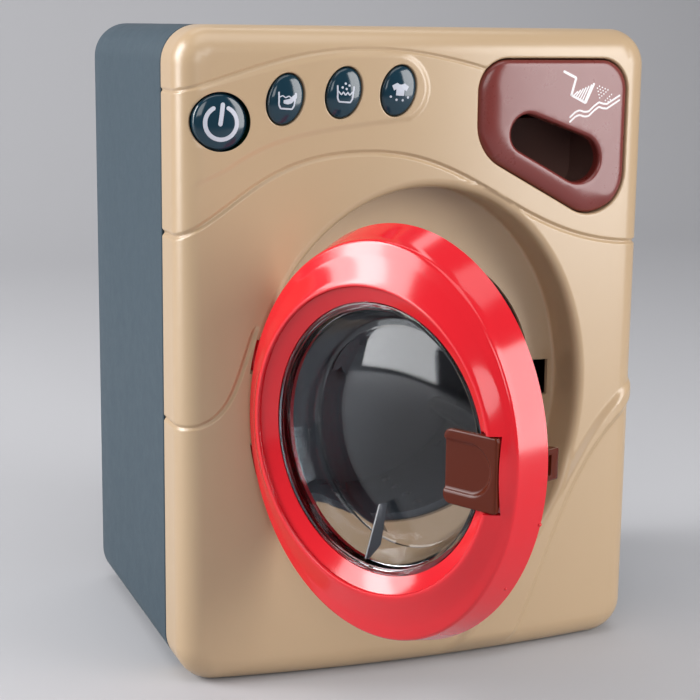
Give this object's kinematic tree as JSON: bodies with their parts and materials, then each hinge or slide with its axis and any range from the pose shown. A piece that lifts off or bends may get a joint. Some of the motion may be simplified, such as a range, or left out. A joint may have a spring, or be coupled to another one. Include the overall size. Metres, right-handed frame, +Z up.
{
  "type": "toy washing machine",
  "caption": "Toy front-loading washing machine with a hinged round door, sprung latch, push buttons, detergent drawer and geared turning drum.",
  "frame": {"origin": "middle of the base, on the surface it stands on", "axes": "+Z up, the front panel faces -Y, +X to the right seen from the front"},
  "size_m": [0.162, 0.2193, 0.21],
  "materials": {
    "beige": "moulded ABS, low gloss",
    "slate": "moulded ABS, fine texture",
    "red": "moulded ABS, polished",
    "dark_red": "moulded ABS, polished",
    "brown": "moulded ABS, polished",
    "navy": "moulded ABS, polished",
    "clear": "clear moulded plastic",
    "dark_tub": "moulded polypropylene",
    "drum_grey": "moulded polypropylene",
    "white_gear": "moulded acetal",
    "steel": "plain zinc plated steel",
    "board": "glass-epoxy board",
    "black": "moulded plastic",
    "cell_wrap": "printed steel can"
  },
  "bodies": {
    "cabinet": {"front_shell": "beige", "drawer_guide": "beige", "rear_shell": "slate", "battery_cover": "slate", "cover_screw": "steel", "cells": "cell_wrap", "battery_contacts": "steel", "casing_screws": "steel", "tub": "dark_tub", "tub_screws": "steel", "drum_bush": "white_gear", "gear_plate": "white_gear", "plate_screws": "steel", "idler_axle": "steel", "motor": "steel", "motor_clamp": "steel", "button_board": "board", "button_switches": "black", "board_screws": "steel", "speaker": "black", "speaker_clamp": "steel", "hinge_pin": "steel"},
    "door": {"door_ring": "red", "window": "clear", "window_clamp": "red", "clamp_screws": "steel", "latch_pin": "steel"},
    "latch": {"latch_lever": "brown", "latch_spring": "steel"},
    "power_button": {"power_button": "navy"},
    "mode_button_1": {"mode_button_1": "navy"},
    "mode_button_2": {"mode_button_2": "navy"},
    "mode_button_3": {"mode_button_3": "navy"},
    "drawer": {"drawer_front": "dark_red", "drawer_tray": "dark_red"},
    "drum": {"drum": "drum_grey", "drum_shaft": "steel", "drum_gear": "white_gear"},
    "idler": {"idler_gear": "white_gear"},
    "pinion": {"motor_pinion": "white_gear"}
  },
  "joints": [
    {"name": "door_hinge", "type": "hinge", "parent": "cabinet", "child": "door", "pos_m": [-0.0564, -0.0592, 0.0915], "axis": [0, 0, -1], "range_deg": [-64, 12]},
    {"name": "latch_pivot", "type": "hinge", "parent": "door", "child": "latch", "pos_m": [-0.01109, -0.15392, 0.0902], "axis": [0, 0, -1], "range_deg": [0, 8], "stiffness_Nm_per_rad": 0.05, "springref_deg": -5.73},
    {"name": "power_button_press", "type": "slide", "parent": "cabinet", "child": "power_button", "axis": [0, 1, 0], "range_m": [0, 0.0015], "stiffness_N_per_m": 300, "springref_m": -0.0005},
    {"name": "mode_button_1_press", "type": "slide", "parent": "cabinet", "child": "mode_button_1", "axis": [0, 1, 0], "range_m": [0, 0.0015], "stiffness_N_per_m": 300, "springref_m": -0.0005},
    {"name": "mode_button_2_press", "type": "slide", "parent": "cabinet", "child": "mode_button_2", "axis": [0, 1, 0], "range_m": [0, 0.0015], "stiffness_N_per_m": 300, "springref_m": -0.0005},
    {"name": "mode_button_3_press", "type": "slide", "parent": "cabinet", "child": "mode_button_3", "axis": [0, 1, 0], "range_m": [0, 0.0015], "stiffness_N_per_m": 300, "springref_m": -0.0005},
    {"name": "drawer_slide", "type": "slide", "parent": "cabinet", "child": "drawer", "axis": [0, -1, 0], "range_m": [0, 0.04]},
    {"name": "drum_spin", "type": "hinge", "parent": "cabinet", "child": "drum", "pos_m": [0, 0, 0.0915], "axis": [0, 1, 0], "continuous": true},
    {"name": "idler_spin", "type": "hinge", "parent": "cabinet", "child": "idler", "pos_m": [-0.02685, 0, 0.107], "axis": [0, 1, 0], "continuous": true},
    {"name": "pinion_spin", "type": "hinge", "parent": "cabinet", "child": "pinion", "pos_m": [-0.03811, 0, 0.12819], "axis": [0, 1, 0], "continuous": true}
  ],
  "couplings": [
    {"joint": "idler_spin", "follows": "drum_spin", "ratio": -3.4286},
    {"joint": "pinion_spin", "follows": "drum_spin", "ratio": 10.286}
  ]
}
